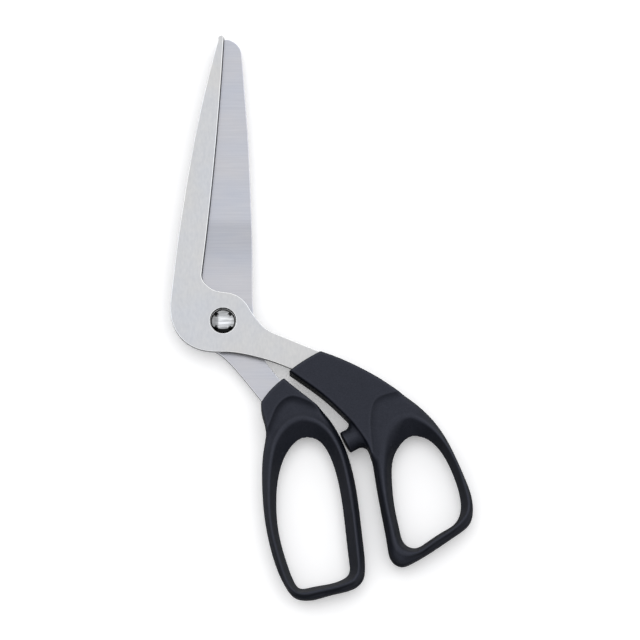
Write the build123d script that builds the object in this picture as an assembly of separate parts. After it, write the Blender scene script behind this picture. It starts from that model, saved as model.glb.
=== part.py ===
from build123d import *
import math
import os

# Bent-handle dressmaking shears with plain straight edges, lying closed on their side.
#
# All lengths are in millimetres. The origin is on the pivot's axis, on the plane that the
# shears lie on. +Y runs from the pivot to the tips, +X towards the handles' side, +Z up.
# The blades slide past each other at the shear plane, half-way up the handles.

# ---- heights, given from the shear plane ------------------------------------------------
HANDLE_THICK = 13.0                 # thickest part of the moulded handles
SHEAR_Z = HANDLE_THICK / 2          # height of the shear plane above the resting plane
BLADE_THICK = 3.0
BLADE_GAP = 0.4                     # between the two inner faces, filled by the washer
FRONT_LOW = BLADE_GAP / 2           # inner face of the front blade
FRONT_HIGH = FRONT_LOW + BLADE_THICK
BACK_HIGH = -BLADE_GAP / 2          # inner face of the back blade
BACK_LOW = BACK_HIGH - BLADE_THICK
NECK_Z = HANDLE_THICK / 2           # half thickness of the handle's flat neck
RIM_Z = 6.1                         # half thickness at the rim around each finger loop
FLANGE_Z = 4.9                      # half thickness of the flange outside the rim
MOUTH_Z = NECK_Z + 0.3              # where the flaring finger hole reaches its crest outline

# ---- edges ------------------------------------------------------------------------------
BEVEL_WIDTH = 0.45                  # ground bevel along each cutting edge, seen from above
BEVEL_DEPTH = 2.8
BEVEL_OVERRUN = 0.2                 # share by which the grinding cut passes the bevel's limits
FLANGE_ROUND = 1.4
NECK_ROUND = 0.9
RIM_WIDTH = 0.8                     # from the rim's crest out to the flange
LEVEL_SLACK = 0.01                  # how far from a level an edge still counts as on it

# ---- pivot ------------------------------------------------------------------------------
HEAD_POCKET_R = 5.8                 # counterbore in the front blade
HEAD_POCKET_FLOOR = 1.0
HEAD_R = 5.35
HEAD_LOW = 1.35
HEAD_RIM = 1.7
HEAD_TOP = 2.6
NOTCH_SIDE = 1.5                    # square spanner notches in the head's rim
NOTCH_FLOOR = 1.6
SHANK_R = 3.0
RUNNING_FIT = 0.05
BUSH_R = 4.0
BUSH_FLANGE_R = 5.5
BUSH_FLANGE_HIGH = 1.3
WASHER_R = 9.0
SPRING_WASHER_R = 6.0
SPRING_WASHER_THICK = 0.6
NUT_FLATS = 11.0
NUT_CORNER_SPHERE_R = 7.3           # rounds off the nut's corners at both ends
NUT_LOW = -SHEAR_Z
THREAD_END = -5.6                   # the closed end of the nut covers the screw's end

# ---- tangs inside the handles -----------------------------------------------------------
ANCHOR_HOLE_R = 1.6

# ---- stop lug on the front handle -------------------------------------------------------
LUG_R = 5.0
LUG_LENGTH = 9.0                    # it reaches well inside the handle
LUG_ANGLE = 208.5                   # direction that the lug points, in degrees from +X
LUG_FACE = (53.7, -54.4)            # centre of the lug's end face


def face_of(*lines):
    """A flat face inside a closed run of lines and curves."""
    return make_face(Wire([edge for line in lines for edge in line.edges()]))


def slab(face, low, high):
    """A face pulled up between two heights given from the shear plane."""
    return extrude(Pos(0, 0, SHEAR_Z + low) * face, amount=high - low, dir=(0, 0, 1))


def disc(radius, low, high, at=(0, 0)):
    """A round plate between two heights given from the shear plane."""
    return slab(Pos(at[0], at[1]) * Circle(radius).face(), low, high)


def on_circle(radius, degrees):
    """A point on a circle around the pivot."""
    turn = math.radians(degrees)
    return (radius * math.cos(turn), radius * math.sin(turn))


def edges_at(solid, height):
    """The edges of a solid's flat face at a height given from the shear plane."""
    level = SHEAR_Z + height
    return solid.edges().filter_by_position(Axis.Z, level - LEVEL_SLACK, level + LEVEL_SLACK)


def rounded_slab(face, half_thick, radius):
    """A plate about the shear plane with both its outline edges rounded."""
    plate = slab(face, -half_thick, half_thick)
    return fillet(edges_at(plate, half_thick) + edges_at(plate, -half_thick), radius)


# ---- blades -----------------------------------------------------------------------------
FRONT_TIP = (0.5, 127.0)
FRONT_HEEL = (-9.1, 21.0)
BACK_TIP = (-1.0, 125.2)
BACK_HEEL = (-18.9, 20.5)
BOSS_R = 12.75                      # round boss of the front blade around the pivot
FAR_X = 40.0                        # beyond both blades
TIP_OVERRUN = 4.0                   # the bevels are ground straight off the tips


def front_cutting_edge(inset=0.0):
    """The front cutting edge and heel, or the same line ground back, which runs out at the boss."""
    heel = (FRONT_HEEL[0] - inset, FRONT_HEEL[1])
    return [
        ThreePointArc((FRONT_TIP[0] - inset, FRONT_TIP[1]), (-3.35 - inset, 74.4), heel),
        Spline(heel, (-7.8 - 0.8 * inset, 17.1 - 0.5 * inset), (-4.2 - 0.3 * inset, 14.1 - 0.6 * inset),
               on_circle(BOSS_R - 0.15 * inset, 82), tangents=[(-0.09, -1), (0.99, -0.14)]),
    ]


def back_cutting_edge(inset=0.0):
    """The back cutting edge and heel, or the same line ground back, which runs out below the heel."""
    heel = (BACK_HEEL[0] + inset, BACK_HEEL[1])
    return [
        ThreePointArc((BACK_TIP[0] + inset, BACK_TIP[1]), (-10.6 + inset, 73.0), heel),
        Spline(heel, (-20.2 + 0.8 * inset, 14.5), (-20.6 + 0.15 * inset, 6.5),
               tangents=[(-0.23, -0.97), (0.05, -1)]),
    ]


def front_blade_face():
    """The front blade with a tang that runs on past the end of its handle."""
    boss_end = on_circle(BOSS_R, 27)
    tang_top = (24.0, -6.35)
    tang_top_end = (50.0, -17.1)
    tang_low_end = (38.0, -25.2)
    spine_end = (-2.3, 126.6)
    return face_of(
        *front_cutting_edge(),
        ThreePointArc(on_circle(BOSS_R, 82), on_circle(BOSS_R, 55), boss_end),
        Spline(boss_end, (14.6, 1.0), (18.2, -3.1), tang_top,
               tangents=[(0.454, -0.891), (0.926, -0.378)]),
        Line(tang_top, tang_top_end),
        Line(tang_top_end, tang_low_end),
        Spline(tang_low_end, (29.9, -21.6), (22.5, -18.6), (12.8, -15.8), (3.0, -14.1),
               (-6.6, -13.7), (-14.7, -10.9), (-20.3, -5.3), (-23.0, 2.5), (-22.7, 12.5),
               (-20.6, 31.0), (-17.5, 53.0), (-12.5, 82.5), (-7.5, 106.0), spine_end),
        ThreePointArc(spine_end, (-0.9, 128.7), FRONT_TIP),
    )


def back_blade_face():
    """The back blade with a tang that runs on past the end of its handle."""
    spine_tip = (0.6, 127.35)
    tang_right_end = (30.0, -31.5)
    tang_left_end = (20.5, -40.2)
    return face_of(
        *back_cutting_edge(),
        Spline((-20.6, 6.5), (-18.9, -2.0), (-14.6, -7.6), (-8.5, -11.0),
               (-2.4, -13.9), (5.1, -20.7), (13.2, -30.7), tang_left_end,
               tangents=[(0.05, -1), (0.6, -0.8)]),
        Line(tang_left_end, tang_right_end),
        Spline(tang_right_end, (24.7, -25.6), (18.6, -17.5), (15.0, -8.0), (13.3, 4.0),
               (12.9, 27.0), (12.1, 57.0), (10.6, 88.0), (8.9, 110.0), (8.2, 119.5), (7.2, 123.6),
               (4.7, 126.2), (2.1, 127.4), spine_tip),
        ThreePointArc(spine_tip, (-0.7, 126.6), BACK_TIP),
    )


def ground_away(cutting_edge, far_x, top, bottom):
    """What grinding a bevel takes off: all that is beyond a slope, from its flat to its sharp edge."""
    sections = []
    for share in (1 + BEVEL_OVERRUN, -BEVEL_OVERRUN):
        lines = cutting_edge(share * BEVEL_WIDTH)
        start = lines[0].position_at(0)
        end = lines[-1].position_at(1)
        past_tip = start.Y + TIP_OVERRUN
        beyond = Polyline(end, (far_x, end.Y), (far_x, past_tip), (start.X, past_tip), start)
        height = bottom + share * (top - bottom)
        sections.append(Pos(0, 0, SHEAR_Z + height) * face_of(*lines, beyond))
    return loft(sections, ruled=True)


def tang(points, anchor_holes, low, high):
    """The narrow end of a blade that is moulded into its handle, with anchor holes."""
    core = slab(face_of(closed_spline(points)), low, high)
    for hole in anchor_holes:
        core -= disc(ANCHOR_HOLE_R, low, high, at=hole)
    return core


def front_tang():
    return tang([(33.0, -17.5), (45.0, -19.8), (58.0, -26.5), (64.5, -33.5), (61.0, -37.5),
                 (50.0, -32.0), (38.0, -25.0), (31.5, -20.5)],
                [(46.0, -24.8), (57.0, -31.5)], FRONT_LOW, FRONT_HIGH)


def back_tang():
    return tang([(21.5, -27.5), (28.5, -33.0), (34.5, -39.0), (33.0, -42.0), (27.0, -42.5),
                 (20.8, -38.0), (17.5, -31.5)],
                [(25.6, -36.5)], BACK_LOW, BACK_HIGH)


# ---- handles ----------------------------------------------------------------------------
def front_handle_face():
    """Small-loop handle: the end at the blade, round the loop, and back past the lug."""
    end_top = (42.9, -14.15)
    end_low = (29.0, -23.1)
    return face_of(
        Spline(end_top, (51.3, -17.3), (60.0, -21.4), (69.0, -26.5), (78.5, -33.0), (90.0, -42.1),
               (100.8, -57.8), (106.6, -71.0), (109.9, -84.5), (108.6, -90.2), (103.5, -95.0),
               (95.0, -100.9), (82.5, -108.6), (77.5, -109.9), (74.3, -107.8), (72.3, -101.5),
               (69.5, -86.0), (66.8, -70.5), (64.4, -58.8), (60.6, -51.3), (52.8, -42.4),
               (44.2, -34.3), (35.0, -27.4), end_low),
        ThreePointArc(end_low, (35.3, -18.5), end_top),
    )


def back_handle_face():
    """Large-loop handle: the end at the blade, round the loop and back."""
    end_top = (26.8, -26.4)
    end_low = (16.7, -37.4)
    return face_of(
        Spline(end_top, (32.1, -30.9), (38.5, -35.9), (44.5, -41.2), (49.4, -47.8), (54.0, -57.4),
               (57.3, -68.5), (59.8, -83.5), (61.6, -99.0), (62.5, -111.0), (61.3, -116.6),
               (56.8, -119.9), (48.0, -122.3), (37.2, -124.8), (31.8, -123.8), (27.3, -118.5),
               (22.4, -106.6), (18.7, -90.5), (17.2, -72.0), (18.0, -57.5), (18.9, -48.5),
               (17.4, -42.2), end_low),
        ThreePointArc(end_low, (20.9, -31.7), end_top),
    )


# Round each finger hole, clockwise from its top: the waist on the shear plane, and the
# crest outside it, where the flaring wall comes out on top.
FRONT_LOOP = [
    ((84.5, -51.5), (83.8, -43.4)), ((90.2, -53.2), (91.5, -48.3)),
    ((95.6, -58.4), (98.2, -56.0)), ((100.7, -68.0), (103.8, -66.7)),
    ((103.7, -77.2), (107.1, -77.0)), ((104.2, -85.5), (107.9, -86.0)),
    ((102.3, -90.1), (104.5, -91.2)), ((96.9, -94.0), (98.3, -96.2)),
    ((90.0, -98.6), (91.5, -100.7)), ((83.8, -101.5), (83.8, -105.1)),
    ((80.2, -99.9), (78.2, -103.8)), ((77.8, -94.0), (74.6, -96.3)),
    ((75.6, -83.5), (71.8, -84.5)), ((74.4, -71.0), (70.0, -70.5)),
    ((74.9, -62.0), (70.6, -58.5)), ((78.3, -55.2), (75.0, -46.2)),
]
BACK_LOOP = [
    ((37.2, -52.1), (36.3, -44.3)), ((42.3, -53.8), (43.5, -47.3)),
    ((46.6, -59.8), (49.9, -55.0)), ((50.2, -70.5), (54.4, -69.0)),
    ((53.1, -88.0), (57.7, -87.5)), ((55.3, -107.5), (59.9, -107.5)),
    ((54.9, -113.6), (59.0, -115.6)), ((51.6, -116.0), (54.0, -118.8)),
    ((38.5, -119.1), (39.5, -122.5)), ((33.6, -119.4), (32.4, -122.8)),
    ((31.2, -116.2), (28.6, -118.6)), ((28.3, -108.5), (25.0, -108.5)),
    ((25.0, -96.5), (21.8, -96.0)), ((23.6, -82.0), (20.3, -80.0)),
    ((24.8, -68.5), (21.0, -64.5)), ((30.0, -56.4), (26.2, -49.0)),
]


def closed_spline(points):
    return Spline(*points, periodic=True)


def grown(curve, distance):
    """A closed curve drawn outside another one that runs clockwise."""
    steps = 32
    points = []
    for step in range(steps):
        outward = curve.tangent_at(step / steps).rotate(Axis.Z, 90)
        points.append(curve.position_at(step / steps) + outward * distance)
    return closed_spline(points)


def front_scoop_face():
    """The lowered side of the front handle: its edge is where the flat neck stops."""
    start = (65.7, -60.3)
    end = (81.5, -31.0)
    return face_of(
        Spline(start, (65.0, -53.0), (64.8, -43.5), (67.2, -36.0), (72.5, -33.4), end),
        Polyline(end, (130, -31), (130, -130), (50, -130), (50, -60.3), start),
    )


def back_scoop_face():
    """The lowered side of the back handle: its edge is where the flat neck stops."""
    start = (13.0, -55.0)
    end = (46.0, -39.0)
    return face_of(
        Spline(start, (20.3, -47.0), (23.4, -39.5), (29.5, -34.6), (37.0, -36.4), end),
        Polyline(end, (80, -39), (80, -140), (0, -140), (0, -55), start),
    )


def moulded_handle(outline, scoop, loop):
    """A handle: flat neck, lowered flange, raised rim and a funnel-shaped finger hole."""
    lowered = slab(scoop, -MOUTH_Z, MOUTH_Z)
    flange = rounded_slab(outline, FLANGE_Z, FLANGE_ROUND) & lowered
    neck = rounded_slab(outline, NECK_Z, NECK_ROUND) - lowered
    crest = closed_spline([outer for inner, outer in loop])
    rim = slab(face_of(grown(crest, RIM_WIDTH)), -RIM_Z, RIM_Z)
    handle = flange + neck + rim
    waist = Pos(0, 0, SHEAR_Z) * face_of(closed_spline([inner for inner, outer in loop]))
    for side in (1, -1):
        mouth = Pos(0, 0, SHEAR_Z + side * MOUTH_Z) * face_of(crest)
        handle -= loft([waist, mouth], ruled=True)
    return handle


def stop_lug():
    """The round peg on the front handle that meets the back handle when closed."""
    end = Vector(*LUG_FACE, SHEAR_Z)
    out = Vector(math.cos(math.radians(LUG_ANGLE)), math.sin(math.radians(LUG_ANGLE)), 0)
    plane = Plane(origin=end, z_dir=-out)
    return extrude(plane * Circle(LUG_R), amount=LUG_LENGTH)


# ---- pivot parts ------------------------------------------------------------------------
def pivot_screw():
    """Low domed head with four square spanner notches, on a round shank."""
    drop = HEAD_TOP - HEAD_RIM
    dome_r = (HEAD_R ** 2 + drop ** 2) / (2 * drop)
    head = disc(HEAD_R, HEAD_LOW, HEAD_TOP)
    head &= Pos(0, 0, SHEAR_Z + HEAD_TOP - dome_r) * Sphere(dome_r)
    for turn in (45, 135, 225, 315):
        notch = Pos(HEAD_R, 0) * Rectangle(2 * NOTCH_SIDE, NOTCH_SIDE).face()
        head -= slab(Rot(0, 0, turn) * notch, NOTCH_FLOOR, HEAD_TOP)
    return head + disc(SHANK_R, THREAD_END, HEAD_LOW)


def ring(outer, inner, low, high):
    return disc(outer, low, high) - disc(inner, low, high)


def pivot_bush():
    """Flanged nylon bush in the front blade, turning on the screw's shank."""
    bore = SHANK_R + RUNNING_FIT
    return ring(BUSH_R, bore, FRONT_LOW, BUSH_FLANGE_HIGH) + ring(
        BUSH_FLANGE_R, bore, HEAD_POCKET_FLOOR, BUSH_FLANGE_HIGH)


def blade_washer():
    return ring(WASHER_R, SHANK_R + RUNNING_FIT, BACK_HIGH, FRONT_LOW - RUNNING_FIT)


def spring_washer():
    return ring(SPRING_WASHER_R, SHANK_R + RUNNING_FIT, BACK_LOW - SPRING_WASHER_THICK, BACK_LOW)


def lock_nut():
    """Closed hexagon nut as deep as the handles, so that the shears lie level."""
    high = BACK_LOW - SPRING_WASHER_THICK
    nut = slab(RegularPolygon(NUT_FLATS / 2, 6, major_radius=False).face(), NUT_LOW, high)
    nut &= Pos(0, 0, SHEAR_Z + high) * Sphere(NUT_CORNER_SPHERE_R)
    return nut - disc(SHANK_R, THREAD_END, high)


# ---- the assembly -----------------------------------------------------------------------
def front_pieces():
    shell = moulded_handle(front_handle_face(), front_scoop_face(), FRONT_LOOP)
    shell += stop_lug()
    blade = slab(front_blade_face(), FRONT_LOW, FRONT_HIGH)
    blade -= ground_away(front_cutting_edge, FAR_X, FRONT_HIGH, FRONT_HIGH - BEVEL_DEPTH)
    blade -= slab(front_handle_face(), -NECK_Z, NECK_Z)
    blade += front_tang()
    blade -= disc(HEAD_POCKET_R, HEAD_POCKET_FLOOR, FRONT_HIGH)
    blade -= disc(BUSH_R, FRONT_LOW, FRONT_HIGH)
    return {"front_blade": blade, "front_handle": shell - front_tang(), "pivot_bush": pivot_bush()}


def back_pieces():
    shell = moulded_handle(back_handle_face(), back_scoop_face(), BACK_LOOP)
    blade = slab(back_blade_face(), BACK_LOW, BACK_HIGH)
    blade -= ground_away(back_cutting_edge, -FAR_X, BACK_LOW, BACK_LOW + BEVEL_DEPTH)
    blade -= slab(back_handle_face(), -NECK_Z, NECK_Z)
    blade += back_tang()
    blade -= disc(SHANK_R + RUNNING_FIT, BACK_LOW, BACK_HIGH)
    return {"back_blade": blade, "back_handle": shell - back_tang(), "pivot_screw": pivot_screw(),
            "blade_washer": blade_washer(), "spring_washer": spring_washer(), "lock_nut": lock_nut()}


def main():
    os.makedirs("parts", exist_ok=True)
    for name, solid in {**front_pieces(), **back_pieces()}.items():
        export_step(solid, os.path.join("parts", name + ".step"))


main()
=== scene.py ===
import math

import bmesh
import bpy
import numpy as np
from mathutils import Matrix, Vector


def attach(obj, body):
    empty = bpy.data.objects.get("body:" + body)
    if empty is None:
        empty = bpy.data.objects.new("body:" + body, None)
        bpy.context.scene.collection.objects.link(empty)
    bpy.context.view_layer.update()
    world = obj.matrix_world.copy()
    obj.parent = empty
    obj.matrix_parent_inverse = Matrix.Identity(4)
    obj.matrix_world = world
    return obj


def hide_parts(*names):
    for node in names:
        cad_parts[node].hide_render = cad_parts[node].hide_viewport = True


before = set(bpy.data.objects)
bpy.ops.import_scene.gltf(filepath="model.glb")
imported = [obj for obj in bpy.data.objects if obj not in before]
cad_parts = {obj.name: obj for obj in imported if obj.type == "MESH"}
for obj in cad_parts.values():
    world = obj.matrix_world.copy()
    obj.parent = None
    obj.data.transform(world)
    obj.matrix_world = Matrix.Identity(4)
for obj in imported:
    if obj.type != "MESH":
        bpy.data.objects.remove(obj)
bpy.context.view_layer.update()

# Bent-handle dressmaking shears, lying closed on a pale floor. Blender's units are metres.
# The handles are worked out as fields in millimetres and made into meshes at the end.

# ---- driving sizes, in millimetres ------------------------------------------------------
MM = 0.001
SHEAR = 6.5                    # height of the plane that the blades slide past each other on
NECK_HALF = 6.5                # half thickness of a handle's flat neck
RIM_HALF = 5.9                 # and of the crest round its finger hole
FLANGE_HALF = 4.9              # and of the lowered flange outside the crest
RIM_INSIDE = 0.8               # from the CAD rim's outer edge in to its crest line
PLAN_CUT = 6.48                # level where a slice shows a handle's outline and finger hole
RIM_CUT = 11.7                 # level where a slice shows its neck, rim and funnel
CREST_FLAT = 0.5               # flat top outside the crest line
FLANGE_TILT = 0.25             # slope of the flange down to the outline
FLANGE_WIDTH = 3.0             # how far in from the outline that slope goes
FLANGE_LEVEL_AT = 2.0          # distance in from the outline where it has its own level
RIDGE_SHARE = 0.6              # share of the way from crest to outline that the crest's slope takes
RIDGE_REACH = (1.2, 4.5)       # narrowest and widest that it may be
SCOOP_EDGE = 3.0               # width of the step down from the neck
SCOOP_REACH = (8.0, 16.0)      # from the neck, the scoop's level runs out between these
FRONT_SCOOP_HALF = 5.6         # half thickness at the bottom of each handle's scoop
BACK_SCOOP_HALF = 4.9
FLANK_FOOT = 3.2               # half thickness at the foot of the steep flanks beside the gap
FLANK_SLOPE = 1.0
FLANK_LIFT = 4.0               # the flanks start this much too high to cut into anything,
FLANK_START = 3.0              # this far inside the neck's end,
FLANK_RUN = 8.0                # and come down over this length
FLANK_ROUND = 1.0              # softness of their top edge
NARROWEST_FUNNEL = 0.5
MOUTH_ROUND = 0.5              # softness of the finger hole's edge
LIP_ROUND = 2.5                # beside the gap a lip makes that edge this much softer,
LIP_WIDTH = 0.7                # the crest this much wider,
LIP_STEEPER = 0.3              # and the hole's wall steeper by this share
NECK_EDGE_ROUND = 0.9          # radius of the neck's edges
FLANGE_EDGE_ROUND = 2.4        # and of the flange's
EDGE_ROUND_RUN = 4.0           # from the neck's end, the radius changes over this length
LUG_FACE = (53.7, -54.4)       # centre of the stop lug's end
LUG_ANGLE = math.radians(208.5)
LUG_R = 5.0
LUG_LENGTH = 11.0
LUG_FILLET = 4.0
LUG_END_ROUND = 0.5
LUG_SLACK = 0.02               # how far outside the lug's sides a point still counts as on it
FILLET_INSIDE = 1.0            # the fillet has gone this far inside the handle's outline
FILLET_TOP = 6.0               # and at this height from the shear plane,
FILLET_FADE = 2.0              # fading over this much of it
CELL = 0.4                     # of the grid that the handles are made on
MARGIN = 1.6
SIDE_BLUR = 20                 # rounds of smoothing where a loop turns to or from the gap
SIDE_FROM = 0.1                # the part of a loop that faces the gap starts at this share,
SIDE_RUN = 0.6                 # and is whole after this much more

WELD = 2e-6                    # in metres, closer than any two real corners
FLAT_ANGLE = math.radians(0.5)     # faces within this of each other are one flat face
SHARP_ANGLE = math.radians(30)     # edges sharper than this are broken

BLADE_LENGTH = 0.13            # from the pivot to the tips, in metres
HEAD_SHADE_TOP = 8.22              # height up to which the screw's head is painted black as shade, in millimetres
HEAD_FADE = 0.1
HEAD_LEFT = (-2.4, -1.8)       # painted shade darkens it to the left between these,
HEAD_ABOVE = (2.2, 2.8)        # and above between these
HEAD_SHADE_SHARE = 0.03               # what is left of its tone where shade is painted
LIT_ARC_CENTRE = 4.7              # the arc outside which its painted reflection gives way to painted shade, in millimetres
LIT_ARC_R = 8.1
LIT_ARC_FADE = 0.3

# ---- camera -----------------------------------------------------------------------------
CAMERA_AIM = Vector((0.04268, 0.00018, 0.0097))
CAMERA_TILT = math.radians(12.0)
CAMERA_DISTANCE = 10.0
FIELD_WIDTH = 0.2816
SENSOR_WIDTH = 36.0
CAMERA_REACH = 40.0

# ---- floor ------------------------------------------------------------------------------
FLOOR_SIZE = 6.0
FLOOR_DROP = 0.02              # in millimetres, so that it isn't in one plane with the handles
FLOOR_GLOW = 0.2               # strength of its own white light

# ---- light ------------------------------------------------------------------------------
TOP_LIGHT = ((0.1, 0.7, 1.9), 1.8, 4.8)            # place, size and power
LIGHT_TINT = (0.95, 0.97, 1.0)
ROOM_SHADES = [                # from the horizon, 0, to straight above, 1
    (0.0, (0.95, 0.95, 0.95)),
    (0.15, (0.9, 0.9, 0.9)),
    (0.4, (0.7, 0.7, 0.7)),
    (0.75, (0.75, 0.75, 0.75)),
    (1.0, (0.92, 0.92, 0.94)),
]
ROOM_LEAN = [                  # share of that light from the handles' end, 0, to the tips' end, 1
    (0.0, (0.8, 0.8, 0.8)),
    (0.4, (1.05, 1.05, 1.05)),
    (0.6, (1.53, 1.53, 1.53)),
    (1.0, (1.56, 1.56, 1.56)),
]

# ---- tones, as (position, colour), for colour ramps --------------------------------------
PAPER_TONES = [(0.3, (0.93, 0.93, 0.935)), (0.7, (0.95, 0.95, 0.95))]
PLASTIC_TONES = [(0.3, (0.003, 0.004, 0.007)), (0.7, (0.005, 0.006, 0.01))]
SATIN_TONES = [(0.3, (0.895, 0.905, 0.93)), (0.7, (0.985, 0.99, 1.0))]
SATIN_PATCHES = [(0.35, (0.96, 0.975, 1.0)), (0.65, (1.0, 0.99, 0.965))]
GROUND_TONES = [(0.3, (0.76, 0.772, 0.815)), (0.7, (0.83, 0.84, 0.875))]
GROUND_PATCHES = [(0.35, (0.94, 0.955, 1.0)), (0.65, (1.0, 0.985, 0.985))]
# the back blade's tone is darker over one band of its length
DARKER_BAND = [                # over the blade's length, from the pivot, 0, to the tip, 1
    (0.16, (1.0, 1.0, 1.0)),
    (0.26, (0.88, 0.88, 0.88)),
    (0.33, (0.86, 0.86, 0.86)),
    (0.36, (1.0, 1.0, 1.0)),
]
POLISHED_TONES = [(0.35, (0.46, 0.47, 0.48)), (0.65, (0.56, 0.57, 0.58))]
NYLON_TONES = [(0.3, (0.62, 0.61, 0.57)), (0.7, (0.70, 0.69, 0.65))]
TILT_PAINTED_LIGHT = [                # painted light on a blade by its tilt, from its steep sides, 0, to its faces, 1: painted shade on the steep sides and a painted highlight on the broken edges
    (0.06, (0.17, 0.17, 0.17)),
    (0.1, (0.04, 0.04, 0.04)),
    (0.3, (0.04, 0.04, 0.04)),
    (0.45, (1.0, 1.0, 1.0)),
    (0.985, (1.0, 1.0, 1.0)),
    (0.997, (0.45, 0.45, 0.45)),
]


# ---- camera, floor and light ------------------------------------------------------------
def add_camera():
    """A long lens almost straight above, leaning back from the handles' end."""
    camera = bpy.data.objects.new("camera", bpy.data.cameras.new("camera"))
    camera.data.sensor_width = SENSOR_WIDTH
    camera.data.lens = SENSOR_WIDTH * CAMERA_DISTANCE / FIELD_WIDTH
    camera.data.clip_end = CAMERA_REACH
    back = Vector((0.0, -math.sin(CAMERA_TILT), math.cos(CAMERA_TILT)))
    camera.location = CAMERA_AIM + back * CAMERA_DISTANCE
    camera.rotation_euler = (CAMERA_TILT, 0.0, 0.0)
    bpy.context.scene.collection.objects.link(camera)
    bpy.context.scene.camera = camera


def add_floor():
    bpy.ops.mesh.primitive_plane_add(size=FLOOR_SIZE)
    floor = bpy.context.object
    floor.name = "floor"
    floor.location.z = -FLOOR_DROP * MM
    floor.data.materials.append(floor_paper())


def add_softbox(name, place, size, power):
    """A square soft light that faces the shears."""
    light = bpy.data.lights.new(name, "AREA")
    light.shape = "SQUARE"
    light.size = size
    light.energy = power
    light.color = LIGHT_TINT
    box = bpy.data.objects.new(name, light)
    box.location = place
    box.rotation_euler = (CAMERA_AIM - Vector(place)).to_track_quat("-Z", "Y").to_euler()
    bpy.context.scene.collection.objects.link(box)


def add_light():
    """A white room, brightest overhead and towards the tips, and one large soft light."""
    world = bpy.data.worlds.new("white_room")
    world.use_nodes = True
    tree = world.node_tree
    direction = add_node(tree, "ShaderNodeTexCoord")
    parts = add_node(tree, "ShaderNodeSeparateXYZ")
    tree.links.new(direction.outputs["Generated"], parts.inputs["Vector"])
    background = tree.nodes["Background"]
    tree.links.new(ramp(tree, parts.outputs["Z"], ROOM_SHADES), background.inputs["Color"])
    along = between(tree, parts.outputs["Y"], 0.0, 1.0, -1.0)
    tree.links.new(ramp(tree, along, ROOM_LEAN), background.inputs["Strength"])
    bpy.context.scene.world = world
    add_softbox("top_light", *TOP_LIGHT)
    bpy.context.scene.view_settings.view_transform = "Standard"


# ---- materials --------------------------------------------------------------------------
def new_material(name):
    """A material and its tree, with the Principled shader that is already there."""
    material = bpy.data.materials.new(name)
    material.use_nodes = True
    tree = material.node_tree
    return material, tree, tree.nodes["Principled BSDF"]


def add_node(tree, kind, **settings):
    node = tree.nodes.new(kind)
    for key, value in settings.items():
        setattr(node, key, value)
    return node


def object_place(tree, scale):
    """Coordinates fixed to the object, in its own metres, stretched by a scale."""
    coordinates = add_node(tree, "ShaderNodeTexCoord")
    mapping = add_node(tree, "ShaderNodeMapping")
    mapping.inputs["Scale"].default_value = scale
    tree.links.new(coordinates.outputs["Object"], mapping.inputs["Vector"])
    return mapping.outputs["Vector"]


def noise(tree, place, scale, detail=3.0):
    node = add_node(tree, "ShaderNodeTexNoise")
    node.inputs["Scale"].default_value = scale
    node.inputs["Detail"].default_value = detail
    tree.links.new(place, node.inputs["Vector"])
    return node.outputs["Fac"]


def ramp(tree, value, stops):
    """A colour ramp: stops are (position, colour)."""
    node = add_node(tree, "ShaderNodeValToRGB")
    elements = node.color_ramp.elements
    while len(elements) < len(stops):
        elements.new(0.5)
    for element, (position, colour) in zip(elements, stops):
        element.position = position
        element.color = (*colour, 1.0)
    tree.links.new(value, node.inputs["Fac"])
    return node.outputs["Color"]


def between(tree, value, low, high, start=0.0, end=1.0):
    """A value that goes from start to end made to run from low to high."""
    node = add_node(tree, "ShaderNodeMapRange")
    node.inputs["From Min"].default_value = start
    node.inputs["From Max"].default_value = end
    node.inputs["To Min"].default_value = low
    node.inputs["To Max"].default_value = high
    tree.links.new(value, node.inputs["Value"])
    return node.outputs["Result"]


def times(tree, one, other):
    """Two colours or values multiplied."""
    mix = add_node(tree, "ShaderNodeMix", data_type="RGBA", blend_type="MULTIPLY")
    mix.inputs["Factor"].default_value = 1.0
    tree.links.new(one, mix.inputs["A"])
    tree.links.new(other, mix.inputs["B"])
    return mix.outputs["Result"]


def object_parts(tree, scale=(1, 1, 1)):
    """The three coordinates fixed to the object, as separate values."""
    parts = add_node(tree, "ShaderNodeSeparateXYZ")
    tree.links.new(object_place(tree, scale), parts.inputs["Vector"])
    return parts.outputs


def upright(tree):
    """1 where a surface lies flat, either way up, and 0 where it is steep."""
    coordinates = add_node(tree, "ShaderNodeTexCoord")
    parts = add_node(tree, "ShaderNodeSeparateXYZ")
    tree.links.new(coordinates.outputs["Normal"], parts.inputs["Vector"])
    either_way = add_node(tree, "ShaderNodeMath", operation="ABSOLUTE")
    tree.links.new(parts.outputs["Z"], either_way.inputs[0])
    return either_way.outputs["Value"]


def bump(tree, shader, height, distance, strength=1.0):
    node = add_node(tree, "ShaderNodeBump")
    node.inputs["Strength"].default_value = strength
    node.inputs["Distance"].default_value = distance
    tree.links.new(height, node.inputs["Height"])
    tree.links.new(node.outputs["Normal"], shader.inputs["Normal"])


def floor_paper():
    """Plain pale paper with a very slight mottle."""
    material, tree, shader = new_material("floor_paper")
    mottle = noise(tree, object_place(tree, (1, 1, 1)), 9.0)
    tree.links.new(ramp(tree, mottle, PAPER_TONES), shader.inputs["Base Color"])
    shader.inputs["Roughness"].default_value = 0.9
    shader.inputs["Emission Color"].default_value = (1.0, 1.0, 1.0, 1.0)
    shader.inputs["Emission Strength"].default_value = FLOOR_GLOW
    return material


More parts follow.
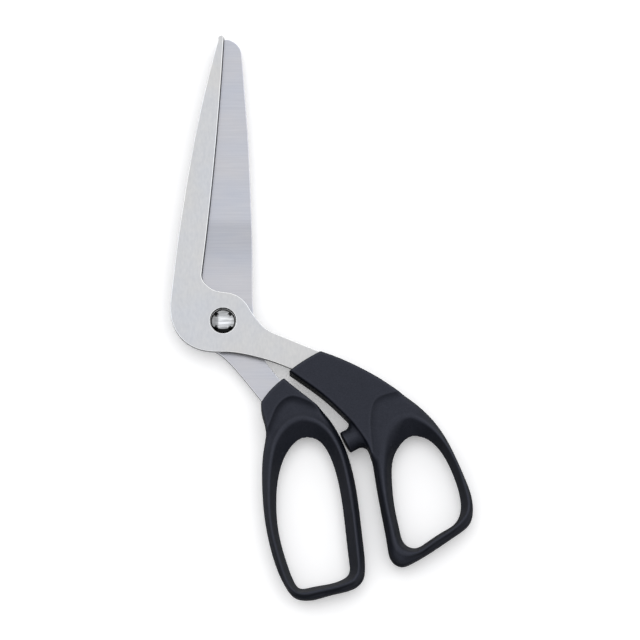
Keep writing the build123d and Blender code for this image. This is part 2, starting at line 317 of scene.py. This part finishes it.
def handle_plastic():
    """Black moulded plastic with a fine spark-eroded grain; its reflection is turned down on the steep
    sides as painted shade, up on crests as painted highlight and down in creases as painted shade.
    """
    material, tree, shader = new_material("handle_plastic")
    place = object_place(tree, (1, 1, 1))
    tone = ramp(tree, noise(tree, place, 260.0), PLASTIC_TONES)
    tree.links.new(tone, shader.inputs["Base Color"])
    tree.links.new(between(tree, noise(tree, place, 1500.0), 0.48, 0.6), shader.inputs["Roughness"])
    # reflection turned down on the steep sides: painted shade
    steep_shade_gloss = between(tree, upright(tree), 0.015, 0.41, 0.35, 0.98)
    grain = between(tree, noise(tree, place, 1700.0, 2.0), 0.87, 1.13, 0.3, 0.7)
    curve = add_node(tree, "ShaderNodeNewGeometry").outputs["Pointiness"]
    # reflection turned up on convex crests as painted highlight and down in creases as painted shade
    crest_highlight_crease_shade = between(tree, curve, 0.75, 1.35, 0.485, 0.525)
    tree.links.new(times(tree, times(tree, steep_shade_gloss, grain), crest_highlight_crease_shade), shader.inputs["Specular IOR Level"])
    shader.inputs["Specular Tint"].default_value = (0.77, 0.81, 1.0, 1.0)
    bump(tree, shader, noise(tree, place, 1900.0, 4.0), 0.00006, 0.6)
    return material


def tilt_painted_light(tree, tone):
    """A plate's tone with painted light: even on the faces, a painted highlight on broken edges and painted
    shade on the steep sides.
    """
    return times(tree, tone, ramp(tree, upright(tree), TILT_PAINTED_LIGHT))


def satin_steel():
    """Stainless steel with a satin finish, with a painted highlight on its broken edges and painted shade
    on its steep sides.
    """
    material, tree, shader = new_material("satin_steel")
    shader.inputs["Metallic"].default_value = 1.0
    slanting = object_place(tree, (1, 0.4, 1))
    slanting.node.inputs["Rotation"].default_value = (0.0, 0.0, math.radians(35))
    tone = ramp(tree, noise(tree, slanting, 1100.0, 5.0), SATIN_TONES)
    patches = ramp(tree, noise(tree, object_place(tree, (1, 1, 1)), 45.0), SATIN_PATCHES)
    # painted highlight on the broken edges and painted shade on the steep sides
    tree.links.new(tilt_painted_light(tree, times(tree, tone, patches)), shader.inputs["Base Color"])
    tree.links.new(between(tree, noise(tree, slanting, 60.0), 0.36, 0.44), shader.inputs["Roughness"])
    bump(tree, shader, noise(tree, slanting, 2400.0), 0.00003, 0.4)
    return material


def ground_steel():
    """Stainless steel ground across the blade, darker over one band of its length, with a painted highlight
    on its broken edges and painted shade on its steep sides.
    """
    material, tree, shader = new_material("ground_steel")
    shader.inputs["Metallic"].default_value = 1.0
    across = object_place(tree, (0.03, 1, 1))
    marks = ramp(tree, noise(tree, across, 1800.0, 5.0), GROUND_TONES)
    darker_band = ramp(tree, object_parts(tree, (1, 1 / BLADE_LENGTH, 1))["Y"], DARKER_BAND)
    patches = ramp(tree, noise(tree, object_place(tree, (0.5, 1, 1)), 70.0), GROUND_PATCHES)
    tone = times(tree, times(tree, marks, darker_band), patches)
    # painted highlight on the broken edges and painted shade on the steep sides
    tree.links.new(tilt_painted_light(tree, tone), shader.inputs["Base Color"])
    tree.links.new(between(tree, noise(tree, across, 2500.0), 0.3, 0.4), shader.inputs["Roughness"])
    bump(tree, shader, noise(tree, across, 3000.0, 2.0), 0.00003, 0.4)
    return material


def polished_steel(name, painted_light=None):
    """Nickel-plated steel with polishing lines, and where given, painted reflection and shade multiplied
    into its tone.
    """
    material, tree, shader = new_material(name)
    shader.inputs["Metallic"].default_value = 1.0
    lines = object_place(tree, (0.12, 1, 1))
    tone = ramp(tree, noise(tree, lines, 700.0), POLISHED_TONES)
    if painted_light:
        tone = times(tree, tone, painted_light(tree))
    tree.links.new(tone, shader.inputs["Base Color"])
    tree.links.new(between(tree, noise(tree, lines, 1800.0), 0.1, 0.22), shader.inputs["Roughness"])
    bump(tree, shader, noise(tree, lines, 1500.0, 2.0), 0.00002, 0.4)
    return material


def head_painted_light(tree):
    """Painted light on the screw's head: a painted reflection bright in the middle, painted shade darker to
    the left and above, and painted black shade elsewhere.
    """
    parts = object_parts(tree, (1 / MM, 1 / MM, 1 / MM))
    # painted black shade below a height, on the head's rim and notch floors
    low_painted_shade = between(tree, parts["Z"], HEAD_SHADE_SHARE, 1.0, HEAD_SHADE_TOP, HEAD_SHADE_TOP + HEAD_FADE)
    from_left = between(tree, parts["X"], 0.5, 1.0, *HEAD_LEFT)
    from_above = between(tree, parts["Y"], 1.0, 0.6, *HEAD_ABOVE)
    off = add_node(tree, "ShaderNodeVectorMath", operation="DISTANCE")
    tree.links.new(object_place(tree, (1 / MM, 1 / MM, 0)), off.inputs[0])
    off.inputs[1].default_value = (0.0, LIT_ARC_CENTRE, 0.0)
    # painted reflection inside an arc, painted shade outside it
    lit_arc = between(tree, off.outputs["Value"], 1.0, HEAD_SHADE_SHARE, LIT_ARC_R, LIT_ARC_R + LIT_ARC_FADE)
    lines = between(tree, noise(tree, object_place(tree, (0.12, 1, 1)), 700.0), 0.62, 1.0, 0.38, 0.58)
    middle = times(tree, times(tree, from_left, from_above), lines)
    return times(tree, times(tree, low_painted_shade, lit_arc), middle)


def nylon():
    """Natural nylon, slightly waxy."""
    material, tree, shader = new_material("nylon")
    place = object_place(tree, (1, 1, 1))
    tone = ramp(tree, noise(tree, place, 500.0), NYLON_TONES)
    tree.links.new(tone, shader.inputs["Base Color"])
    tree.links.new(between(tree, noise(tree, place, 1200.0), 0.4, 0.55), shader.inputs["Roughness"])
    bump(tree, shader, noise(tree, place, 2500.0, 2.0), 0.00002, 0.3)
    return material


# ---- outlines of the CAD handles ---------------------------------------------------------
def welded_copy(node):
    """A CAD node's mesh as a bmesh, with its faces joined along their edges."""
    mesh = bmesh.new()
    mesh.from_mesh(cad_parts[node].data)
    bmesh.ops.remove_doubles(mesh, verts=mesh.verts, dist=WELD)
    return mesh


def outlines_at(node, level):
    """The closed outlines where a CAD node crosses a level, as arrays of points in millimetres."""
    cut = welded_copy(node)
    bmesh.ops.bisect_plane(cut, geom=cut.verts[:] + cut.edges[:] + cut.faces[:], plane_no=(0, 0, 1),
                           plane_co=(0, 0, level * MM), clear_inner=True, clear_outer=True)
    loops = []
    left = set(cut.verts)
    while left:
        vertex = min(left, key=lambda v: v.index)
        loop = []
        while vertex is not None:
            left.discard(vertex)
            loop.append((vertex.co.x / MM, vertex.co.y / MM))
            ends = [edge.other_vert(vertex) for edge in vertex.link_edges]
            vertex = next((end for end in ends if end in left), None)
        loops.append(np.array(loop))
    cut.free()
    return sorted(loops, key=enclosed_area)


def enclosed_area(loop):
    x, y = loop.T
    return abs(x @ np.roll(y, -1) - y @ np.roll(x, -1)) / 2


def without_lug(outline):
    """The front handle's outline, with the part that the stop lug covers left straight."""
    from_face = outline - np.array(LUG_FACE)
    along = from_face @ np.array([-math.cos(LUG_ANGLE), -math.sin(LUG_ANGLE)])
    aside = from_face @ np.array([-math.sin(LUG_ANGLE), math.cos(LUG_ANGLE)])
    on_lug = (np.abs(aside) < LUG_R + LUG_SLACK) & (np.abs(along) < LUG_LENGTH)
    return outline[~on_lug]


def distance_inside(loop, x, y):
    """Signed distance from a closed outline at each point of a plan grid, positive inside it."""
    nearest = np.full(x.shape, np.inf)
    inside = np.zeros(x.shape, bool)
    for (x0, y0), (x1, y1) in zip(loop, np.roll(loop, -1, 0)):
        dx, dy = x1 - x0, y1 - y0
        share = np.clip(((x - x0) * dx + (y - y0) * dy) / max(dx * dx + dy * dy, 1e-12), 0.0, 1.0)
        nearest = np.minimum(nearest, (x - x0 - share * dx) ** 2 + (y - y0 - share * dy) ** 2)
        if y0 != y1:
            inside ^= ((y0 > y) != (y1 > y)) & (x < x0 + (y - y0) * dx / dy)
    return np.where(inside, 1.0, -1.0) * np.sqrt(nearest)


# ---- handles as fields ------------------------------------------------------------------
def smooth_min(a, b, radius):
    """The smaller of two fields, with the corner between them rounded."""
    mix = np.clip(radius - np.abs(a - b), 0.0, None) / radius
    return np.minimum(a, b) - mix * mix * radius / 4


def rounded_corner(a, b, radius):
    """The solid inside both of two distance fields, with its edge rounded."""
    over_a = np.clip(radius - a, 0.0, None)
    over_b = np.clip(radius - b, 0.0, None)
    return np.minimum(np.minimum(a, b), radius - np.hypot(over_a, over_b))


def filled_corner(a, b, radius):
    """Two solids in one, with the corner between them filled by a fillet."""
    near_a = np.clip(radius + a, 0.0, None)
    near_b = np.clip(radius + b, 0.0, None)
    fillet = np.where((near_a > 0) & (near_b > 0), np.hypot(near_a, near_b) - radius, -np.inf)
    return np.maximum(np.maximum(a, b), fillet)


def blurred(values, rounds):
    """A plan grid averaged with its neighbours a number of times."""
    for _ in range(rounds):
        for axis in (0, 1):
            places = np.arange(values.shape[axis])
            ahead = values.take(np.minimum(places + 1, places[-1]), axis)
            behind = values.take(np.maximum(places - 1, 0), axis)
            values = values / 2 + ahead / 4 + behind / 4
    return values


def towards(away, side):
    """1 where a distance field grows towards one side, and 0 where it grows away from it."""
    slope_x, slope_y = np.gradient(away, CELL)
    facing = blurred(slope_x * side[0] + slope_y * side[1], SIDE_BLUR)
    share = np.clip((facing - SIDE_FROM) / SIDE_RUN, 0.0, 1.0)
    return share * share * (3 - 2 * share)


def handle_top(outer, hole, funnel, rim, neck, gap, lip, scoop_half):
    """Half thickness of a handle over its plan, from signed distances to its outlines.

    Inside the neck's end a scoop leads to the finger hole. Beside the gap, the outside of the
    loop falls steeply from the crest, and elsewhere it has a flange.
    """
    off_neck = np.clip(-neck, 0.0, None)
    near_neck = np.clip((SCOOP_REACH[1] - off_neck) / (SCOOP_REACH[1] - SCOOP_REACH[0]), 0.0, 1.0)
    flange = FLANGE_HALF + FLANGE_TILT * (np.clip(outer, 0.0, FLANGE_WIDTH) - FLANGE_LEVEL_AT)
    low = flange + (scoop_half - flange) * near_neck ** 2 * (3 - 2 * near_neck)
    low = low + (NECK_HALF - low) * np.clip(1.0 - off_neck / SCOOP_EDGE, 0.0, None) ** 2
    off_crest = np.clip(rim + RIM_INSIDE - CREST_FLAT - LIP_WIDTH * lip * gap, 0.0, None)
    reach = np.clip(RIDGE_SHARE * (off_crest + outer), *RIDGE_REACH)
    ridge = np.clip(1.0 - off_crest / reach, 0.0, None) ** 2
    top = low + np.clip(RIM_HALF - low, 0.0, None) * ridge
    from_neck = np.clip((FLANK_START - neck) / FLANK_RUN, 0.0, 1.0)
    no_flank = FLANK_LIFT * (1.0 - gap * from_neck ** 2 * (3 - 2 * from_neck))
    top = smooth_min(top, FLANK_FOOT + FLANK_SLOPE * outer + no_flank, FLANK_ROUND)
    wall = (RIM_CUT - SHEAR) * hole / np.maximum(hole - funnel, NARROWEST_FUNNEL)
    return smooth_min(wall * (1.0 + LIP_STEEPER * lip * gap), top, MOUTH_ROUND + LIP_ROUND * lip * gap)


def handle_field(node, with_lug, gap_side, lip, scoop_half):
    """A handle's field on a grid, positive inside, and the grid's lowest corner."""
    hole_loop, outer_loop = outlines_at(node, PLAN_CUT)
    rest = outlines_at(node, RIM_CUT)
    neck_loop = max(rest, key=lambda loop: loop[:, 1].max())
    funnel_loop, rim_loop = [loop for loop in rest if loop is not neck_loop]
    low = np.append(outer_loop.min(0), -NECK_HALF) - MARGIN
    high = np.append(outer_loop.max(0), NECK_HALF) + MARGIN
    if with_lug:
        outer_loop = without_lug(outer_loop)
    axes = [np.arange(low[k], high[k], CELL) for k in range(3)]
    x, y = np.meshgrid(axes[0], axes[1], indexing="ij")
    outer = distance_inside(outer_loop, x, y)
    hole, funnel, rim = [-distance_inside(loop, x, y) for loop in (hole_loop, funnel_loop, rim_loop)]
    neck = distance_inside(neck_loop, x, y)
    top = handle_top(outer, hole, funnel, rim, neck, towards(hole, gap_side), lip, scoop_half)
    steepness = np.sqrt(1.0 + sum(slope ** 2 for slope in np.gradient(top, CELL)))
    height = np.abs(axes[2])
    down = (top[:, :, None] - height) / steepness[:, :, None]
    off_neck = np.clip(-neck / EDGE_ROUND_RUN, 0.0, 1.0)
    edge_round = NECK_EDGE_ROUND + (FLANGE_EDGE_ROUND - NECK_EDGE_ROUND) * off_neck
    field = rounded_corner(down, outer[:, :, None], edge_round[:, :, None])
    if with_lug:
        near_edge = np.clip(FILLET_INSIDE - outer, 0.0, 1.0)
        fillet = LUG_FILLET * near_edge[:, :, None] * np.clip((FILLET_TOP - height) / FILLET_FADE, 0.0, 1.0)
        field = filled_corner(field, lug_field(x, y, axes[2]), fillet)
    return field, low


def lug_field(x, y, z):
    """The stop lug: a round peg with a softened end."""
    from_x = x - LUG_FACE[0]
    from_y = y - LUG_FACE[1]
    along = -from_x * math.cos(LUG_ANGLE) - from_y * math.sin(LUG_ANGLE)
    aside = -from_x * math.sin(LUG_ANGLE) + from_y * math.cos(LUG_ANGLE)
    side = LUG_R - np.hypot(aside[:, :, None], z)
    ends = np.minimum(along, LUG_LENGTH - along)
    return rounded_corner(side, ends[:, :, None], LUG_END_ROUND)


def surface_net(field):
    """Points and four-sided faces of the surface where a field on a grid passes zero."""
    inside = field > 0
    cells = [n - 1 for n in field.shape]
    total = np.zeros(cells + [3])
    count = np.zeros(cells, int)
    rings = []
    for axis in range(3):
        lower = tuple(slice(0, -1) if k == axis else slice(None) for k in range(3))
        upper = tuple(slice(1, None) if k == axis else slice(None) for k in range(3))
        crossed = inside[lower] != inside[upper]
        at = np.argwhere(crossed)
        point = at.astype(float)
        point[:, axis] += field[lower][crossed] / (field[lower][crossed] - field[upper][crossed])
        side_a, side_b = (axis + 1) % 3, (axis + 2) % 3
        ring = []
        for step_a, step_b in ((0, 0), (1, 0), (1, 1), (0, 1)):
            cell = at.copy()
            cell[:, side_a] -= step_a
            cell[:, side_b] -= step_b
            np.add.at(total, tuple(cell.T), point)
            np.add.at(count, tuple(cell.T), 1)
            ring.append(np.ravel_multi_index(tuple(cell.T), cells))
        ring = np.stack(ring, 1)
        outward = inside[lower][crossed]
        ring[~outward] = ring[~outward][:, ::-1]
        rings.append(ring)
    used = np.flatnonzero(count.ravel())
    number = np.full(count.size, -1)
    number[used] = np.arange(len(used))
    points = total.reshape(-1, 3)[used] / count.ravel()[used, None]
    return points, number[np.concatenate(rings)]


def new_piece(name, points, faces, material, body, node):
    """A smooth-shaded mesh piece in metres that stands for a CAD node."""
    mesh = bpy.data.meshes.new(name)
    mesh.from_pydata(points.tolist(), [], faces.tolist())
    mesh.materials.append(material)
    mesh.shade_smooth()
    piece = bpy.data.objects.new(name, mesh)
    bpy.context.scene.collection.objects.link(piece)
    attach(piece, body)
    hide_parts(node)


def add_handle(node, body, material, with_lug, gap_side, lip, scoop_half):
    """A handle. lip is 1 where its finger hole has a soft lip beside the gap, and 0 where it has none."""
    field, low = handle_field(node, with_lug, gap_side, lip, scoop_half)
    points, faces = surface_net(field)
    points = (low + points * CELL + np.array([0.0, 0.0, SHEAR])) * MM
    new_piece(node + "_moulding", points, faces, material, body, node)


# ---- metal pieces -----------------------------------------------------------------------
def add_metal(node, body, material, edge_break):
    """A CAD node's shape with its sharp edges broken by a small bevel."""
    mesh = welded_copy(node)
    bmesh.ops.dissolve_limit(mesh, angle_limit=FLAT_ANGLE, verts=mesh.verts, edges=mesh.edges)
    data = bpy.data.meshes.new(node + "_part")
    mesh.to_mesh(data)
    mesh.free()
    data.materials.append(material)
    piece = bpy.data.objects.new(node + "_part", data)
    bpy.context.scene.collection.objects.link(piece)
    bevel = piece.modifiers.new("edge_break", "BEVEL")
    bevel.width = edge_break * MM
    bevel.segments = 2
    bevel.use_clamp_overlap = False
    bevel.limit_method = "ANGLE"
    bevel.angle_limit = SHARP_ANGLE
    flat = piece.modifiers.new("flat_faces", "WEIGHTED_NORMAL")
    flat.keep_sharp = True
    data.shade_smooth()
    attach(piece, body)
    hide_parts(node)


# ---- the scene --------------------------------------------------------------------------
add_camera()
add_floor()
add_light()
plastic = handle_plastic()
polished = polished_steel("polished_steel")
# the screw's head carries painted reflection and painted shade in its colour
head_painted_steel = polished_steel("head_painted_steel", head_painted_light)
white_nylon = nylon()
add_handle("front_handle", "front_half", plastic, True, (-0.98, -0.2), 1.0, FRONT_SCOOP_HALF)
add_handle("back_handle", "back_half", plastic, False, (0.95, 0.3), 0.0, BACK_SCOOP_HALF)
add_metal("front_blade", "front_half", satin_steel(), 0.3)
add_metal("back_blade", "back_half", ground_steel(), 0.25)
add_metal("pivot_screw", "back_half", head_painted_steel, 0.1)
add_metal("lock_nut", "back_half", polished, 0.15)
add_metal("spring_washer", "back_half", polished, 0.05)
add_metal("pivot_bush", "front_half", white_nylon, 0.05)
add_metal("blade_washer", "back_half", white_nylon, 0.03)
